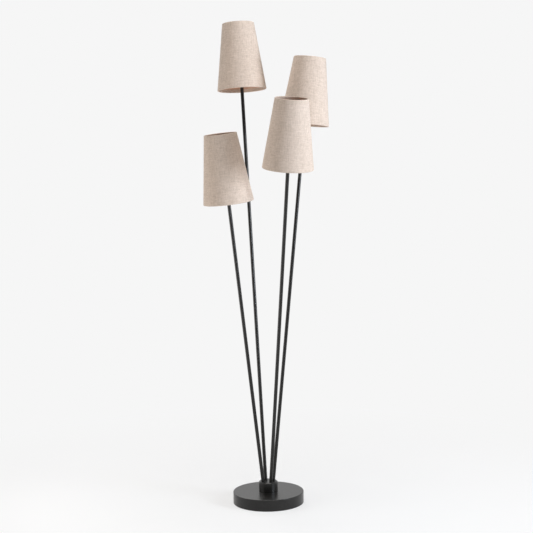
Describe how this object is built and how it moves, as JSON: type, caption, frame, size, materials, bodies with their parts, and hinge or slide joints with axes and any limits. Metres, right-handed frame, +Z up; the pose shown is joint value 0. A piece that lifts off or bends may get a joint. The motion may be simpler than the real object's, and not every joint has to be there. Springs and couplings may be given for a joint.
{
  "type": "tree floor lamp",
  "caption": "Floor lamp with slim black rods that lean out of one hub on a round weighted base, each with a small lampholder and a tapered linen shade.",
  "frame": {"origin": "on the floor, under the middle of the round base", "axes": "+Z up; -Y towards the viewer of the picture, +X to the viewer's right"},
  "size_m": [0.4277, 0.4677, 1.6524],
  "materials": {
    "black_metal": "satin black powder coat",
    "cast_iron": "rough casting",
    "zinc_steel": "bright zinc plate",
    "felt": "pressed felt",
    "black_plastic": "matt moulding",
    "white_plastic": "matt moulding",
    "flex_sheath": "matt sheath",
    "ceramic": "unglazed",
    "brass": "plain",
    "nickel": "nickel plate",
    "opal_glass": "opal",
    "white_wire": "white coating",
    "linen": "heathered oatmeal linen weave"
  },
  "bodies": {
    "stand": {"base_cover": "black_metal", "base_weight": "cast_iron", "base_plate": "zinc_steel", "plate_screws": "zinc_steel", "foot_pad": "felt", "cable_bush": "black_plastic", "terminal_block": "white_plastic", "hub": "black_metal", "hub_screws": "zinc_steel", "rod_rear_right": "black_metal", "flex_rear_right": "flex_sheath", "holder_cap_rear_right": "black_plastic", "holder_core_rear_right": "ceramic", "holder_skirt_rear_right": "black_plastic", "contacts_rear_right": "brass", "shade_nut_rear_right": "black_plastic", "rod_rear_left": "black_metal", "flex_rear_left": "flex_sheath", "holder_cap_rear_left": "black_plastic", "holder_core_rear_left": "ceramic", "holder_skirt_rear_left": "black_plastic", "contacts_rear_left": "brass", "shade_nut_rear_left": "black_plastic", "rod_front_left": "black_metal", "flex_front_left": "flex_sheath", "holder_cap_front_left": "black_plastic", "holder_core_front_left": "ceramic", "holder_skirt_front_left": "black_plastic", "contacts_front_left": "brass", "shade_nut_front_left": "black_plastic", "rod_front_right": "black_metal", "flex_front_right": "flex_sheath", "holder_cap_front_right": "black_plastic", "holder_core_front_right": "ceramic", "holder_skirt_front_right": "black_plastic", "contacts_front_right": "brass", "shade_nut_front_right": "black_plastic"},
    "rear_right_shade": {"shade_rear_right": "linen", "shade_frame_rear_right": "white_wire", "shade_ring_rear_right": "white_wire"},
    "rear_right_bulb": {"bulb_cap_rear_right": "nickel", "bulb_rear_right": "opal_glass"},
    "rear_left_shade": {"shade_rear_left": "linen", "shade_frame_rear_left": "white_wire", "shade_ring_rear_left": "white_wire"},
    "rear_left_bulb": {"bulb_cap_rear_left": "nickel", "bulb_rear_left": "opal_glass"},
    "front_left_shade": {"shade_front_left": "linen", "shade_frame_front_left": "white_wire", "shade_ring_front_left": "white_wire"},
    "front_left_bulb": {"bulb_cap_front_left": "nickel", "bulb_front_left": "opal_glass"},
    "front_right_shade": {"shade_front_right": "linen", "shade_frame_front_right": "white_wire", "shade_ring_front_right": "white_wire"},
    "front_right_bulb": {"bulb_cap_front_right": "nickel", "bulb_front_right": "opal_glass"}
  },
  "joints": [
    {"name": "rear_right_shade_turn", "type": "hinge", "parent": "stand", "child": "rear_right_shade", "pos_m": [0.14517, 0.07238, 1.33294], "axis": [0.1005, 0.0501, 0.9937], "continuous": true},
    {"name": "rear_left_shade_turn", "type": "hinge", "parent": "stand", "child": "rear_left_shade", "pos_m": [-0.07097, 0.14234, 1.45597], "axis": [-0.0447, 0.0897, 0.995], "continuous": true},
    {"name": "front_left_shade_turn", "type": "hinge", "parent": "stand", "child": "front_left_shade", "pos_m": [-0.1212, -0.06043, 1.08035], "axis": [-0.1021, -0.0509, 0.9935], "continuous": true},
    {"name": "front_right_shade_turn", "type": "hinge", "parent": "stand", "child": "front_right_shade", "pos_m": [0.08214, -0.16475, 1.19297], "axis": [0.0648, -0.13, 0.9894], "continuous": true},
    {"name": "rear_right_bulb_screw", "type": "hinge", "parent": "stand", "child": "rear_right_bulb", "pos_m": [0.1457, 0.07264, 1.33815], "axis": [0.1005, 0.0501, 0.9937], "continuous": true},
    {"name": "rear_left_bulb_screw", "type": "hinge", "parent": "stand", "child": "rear_left_bulb", "pos_m": [-0.07121, 0.14281, 1.46119], "axis": [-0.0447, 0.0897, 0.995], "continuous": true},
    {"name": "front_left_bulb_screw", "type": "hinge", "parent": "stand", "child": "front_left_bulb", "pos_m": [-0.12174, -0.0607, 1.08556], "axis": [-0.1021, -0.0509, 0.9935], "continuous": true},
    {"name": "front_right_bulb_screw", "type": "hinge", "parent": "stand", "child": "front_right_bulb", "pos_m": [0.08248, -0.16543, 1.19817], "axis": [0.0648, -0.13, 0.9894], "continuous": true}
  ]
}
